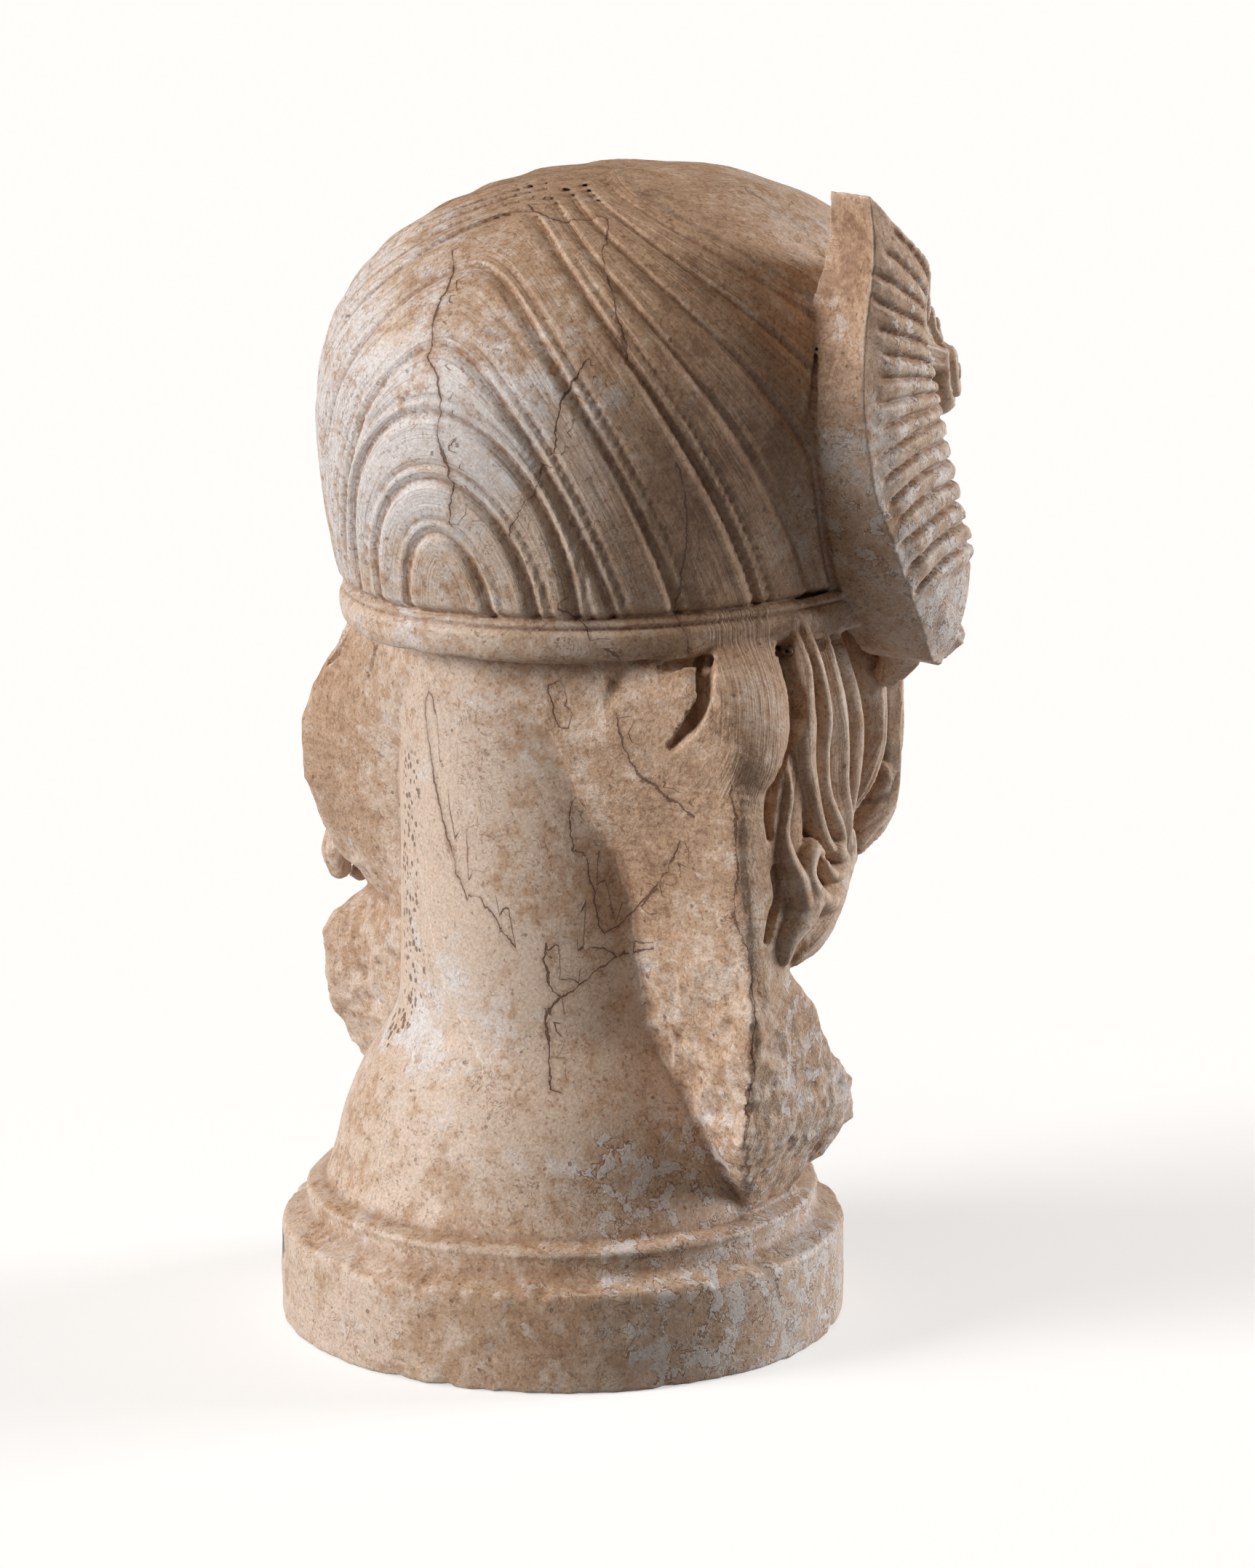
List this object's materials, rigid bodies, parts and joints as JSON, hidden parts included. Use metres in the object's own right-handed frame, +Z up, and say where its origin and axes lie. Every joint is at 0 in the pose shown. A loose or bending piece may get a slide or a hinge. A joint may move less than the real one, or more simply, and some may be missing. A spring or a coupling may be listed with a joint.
{
  "type": "marble head statue",
  "caption": "Carved stone head of a horned, bearded god with combed hair and a head band, on a thick neck and a round moulded plinth, its side hair broken away.",
  "frame": {"origin": "centre of the round plinth's underside", "axes": "+Z up through the neck, the face looks along -Y, the head's own right side is at -X"},
  "size_m": [0.2672, 0.3155, 0.469],
  "materials": {
    "marble": "old cream marble, rubbed smooth on the neck and rough on the breaks"
  },
  "bodies": {
    "root": {"horned_head_on_plinth": "marble"}
  },
  "joints": []
}
